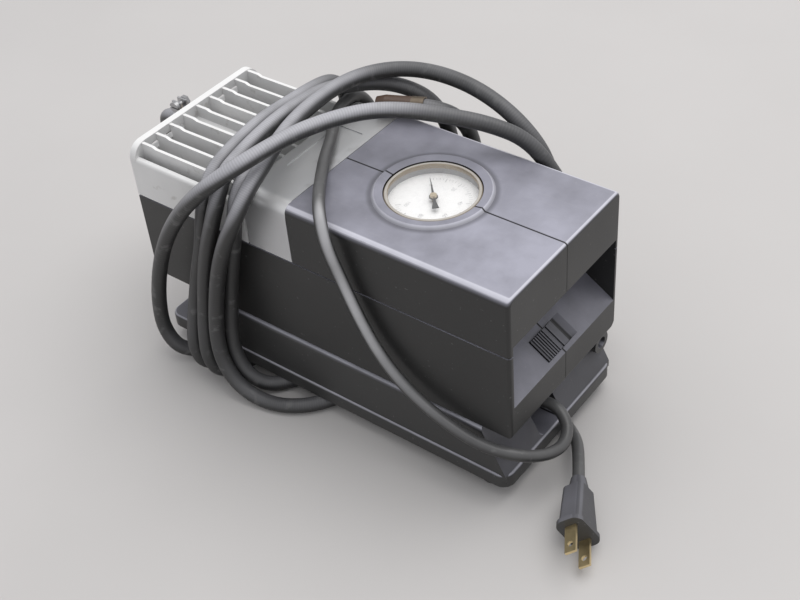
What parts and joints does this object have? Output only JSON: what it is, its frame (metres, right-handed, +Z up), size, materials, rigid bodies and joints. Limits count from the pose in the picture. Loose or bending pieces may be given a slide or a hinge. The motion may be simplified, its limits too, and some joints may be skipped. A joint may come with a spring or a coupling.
{
  "type": "portable air compressor",
  "caption": "Small mains air compressor for tyres: black clamshell body on a flat base, sunk pressure gauge, silver band and finned head, hose and cord wound round it.",
  "frame": {"origin": "on the floor under the middle of the base", "axes": "+X along the body towards the nose with the switch, +Y across the body, +Z up"},
  "size_m": [0.3445, 0.1876, 0.1682],
  "materials": {
    "black_housing": "satin, dusty on the upper faces",
    "black_trim": "satin",
    "screw_steel": "satin",
    "foot_rubber": "matte",
    "case_steel": "satin",
    "dial_white": "satin",
    "gauge_brass": "satin",
    "lens_clear": "polished",
    "pointer_dark": "satin",
    "silver_paint": "satin",
    "cast_alloy": "satin",
    "engine_alloy": "machined",
    "motor_steel": "plated",
    "stack_steel": "laminated",
    "seal_plastic": "smooth",
    "gasket_paper": "matte",
    "fan_plastic": "satin",
    "copper": "bright",
    "hose_rubber": "matte, finely ribbed",
    "cord_jacket": "satin",
    "plug_plastic": "satin",
    "blade_brass": "bright",
    "chuck_plastic": "satin"
  },
  "bodies": {
    "housing": {"air_hose": "hose_rubber", "chuck_body": "chuck_plastic", "chuck_ferrule": "gauge_brass", "chuck_grommet": "foot_rubber", "chuck_stem": "gauge_brass", "cord_bushing": "cord_jacket", "crank_bearing": "motor_steel", "crankcase": "engine_alloy", "cylinder_sleeve": "engine_alloy", "finned_head": "cast_alloy", "front_bearing": "motor_steel", "front_bell": "motor_steel", "gauge_bezel": "gauge_brass", "gauge_case": "case_steel", "gauge_dial": "dial_white", "gauge_lens": "lens_clear", "gauge_movement": "gauge_brass", "head_gasket": "gasket_paper", "head_studs": "screw_steel", "hose_clamp": "motor_steel", "hose_clamp_screw": "screw_steel", "housing_left": "black_housing", "housing_right": "black_housing", "housing_screws": "screw_steel", "motor_can": "motor_steel", "outlet_barb": "gauge_brass", "outlet_reed": "motor_steel", "plug_blades": "blade_brass", "plug_body": "plug_plastic", "plug_relief": "plug_plastic", "power_cord": "cord_jacket", "rear_bearing": "motor_steel", "rear_bell": "motor_steel", "rubber_feet": "foot_rubber", "stator": "stack_steel", "switch_body": "black_trim", "trim_band": "silver_paint", "valve_plate": "engine_alloy"},
    "rotor": {"rotor": "stack_steel", "commutator": "copper", "motor_shaft": "motor_steel", "cooling_fan": "fan_plastic", "crank": "stack_steel"},
    "piston": {"piston_rod": "engine_alloy", "piston_seal": "seal_plastic"},
    "switch": {"switch_slider": "black_trim"},
    "pointer": {"gauge_pointer": "pointer_dark", "pointer_spindle": "gauge_brass"}
  },
  "joints": [
    {"name": "motor_spin", "type": "hinge", "parent": "housing", "child": "rotor", "pos_m": [0, 0, 0.078], "axis": [1, 0, 0], "continuous": true},
    {"name": "piston_stroke", "type": "slide", "parent": "housing", "child": "piston", "axis": [0, 0, 1], "range_m": [-0.008, 0]},
    {"name": "switch_slide", "type": "slide", "parent": "housing", "child": "switch", "axis": [0, 1, 0], "range_m": [0, 0.0035]},
    {"name": "gauge_needle", "type": "hinge", "parent": "housing", "child": "pointer", "pos_m": [0.0437, 0, 0.1316], "axis": [0, 0, 1], "range_deg": [-270, 0], "stiffness_Nm_per_rad": 0.00002}
  ]
}
